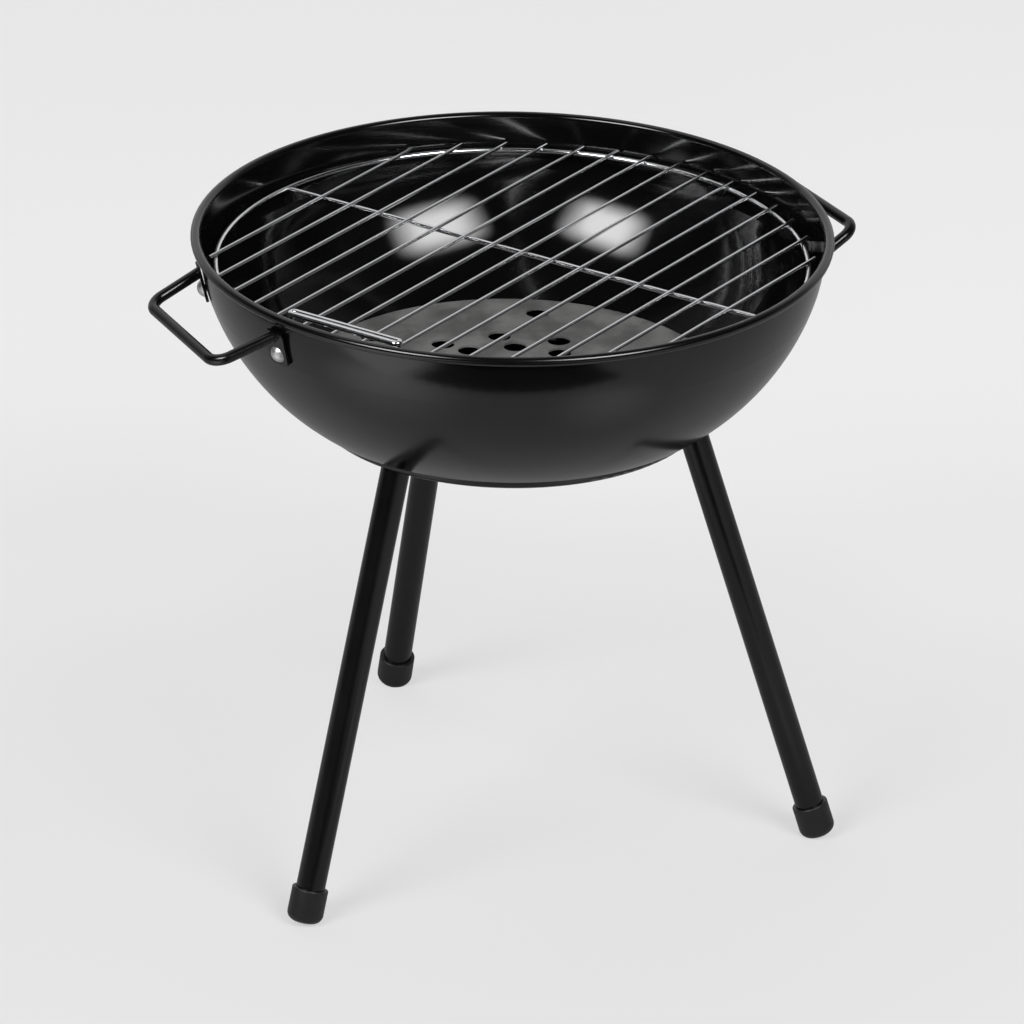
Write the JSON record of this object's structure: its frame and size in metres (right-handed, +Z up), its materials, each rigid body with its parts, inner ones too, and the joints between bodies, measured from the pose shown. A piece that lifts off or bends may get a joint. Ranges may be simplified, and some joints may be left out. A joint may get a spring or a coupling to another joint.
{
  "type": "charcoal grill",
  "caption": "Round charcoal grill: open enamelled bowl on splayed tube legs, with a lift-out wire cooking grate over a perforated charcoal plate and bent-rod side handles.",
  "frame": {"origin": "on the floor, at the middle of the overall footprint; the bowl's axis stands 5 mm in front of it, at y = -5 mm", "axes": "+Z up; +X towards the right side handle, -X towards the left one; -Y is the front, between the two front legs"},
  "size_m": [0.4002, 0.3602, 0.3527],
  "materials": {
    "bowl_enamel": "gloss black enamel on pressed sheet",
    "plate_enamel": "satin grey enamel on pressed sheet",
    "grate_chrome": "bright chrome-plated wire",
    "handle_paint": "semi-gloss black paint on rod and plate",
    "leg_paint": "gloss black paint on steel tube",
    "plug_steel": "plain turned steel",
    "cap_plastic": "satin black moulded plastic",
    "fastener_zinc": "bright zinc plate"
  },
  "bodies": {
    "stand": {"fire_bowl": "bowl_enamel", "left_handle": "handle_paint", "right_handle": "handle_paint", "left_front_bracket": "handle_paint", "left_rear_bracket": "handle_paint", "right_front_bracket": "handle_paint", "right_rear_bracket": "handle_paint", "handle_bolts": "fastener_zinc", "handle_nuts": "fastener_zinc", "front_left_leg": "leg_paint", "front_right_leg": "leg_paint", "rear_leg": "leg_paint", "front_left_leg_plug": "plug_steel", "front_right_leg_plug": "plug_steel", "rear_leg_plug": "plug_steel", "front_left_foot_cap": "cap_plastic", "front_right_foot_cap": "cap_plastic", "rear_foot_cap": "cap_plastic", "leg_bolts": "fastener_zinc", "leg_washers": "fastener_zinc"},
    "cooking_grate": {"grate_ring": "grate_chrome", "grate_bars": "grate_chrome", "grate_cross_wire": "grate_chrome", "grate_lift_handle": "grate_chrome"},
    "charcoal_tray": {"charcoal_plate": "plate_enamel"}
  },
  "joints": [
    {"name": "cooking_grate_lift", "type": "slide", "parent": "stand", "child": "cooking_grate", "axis": [0, 0, 1], "range_m": [0, 0.15]},
    {"name": "charcoal_plate_lift", "type": "slide", "parent": "stand", "child": "charcoal_tray", "axis": [0, 0, 1], "range_m": [0, 0.06]}
  ]
}
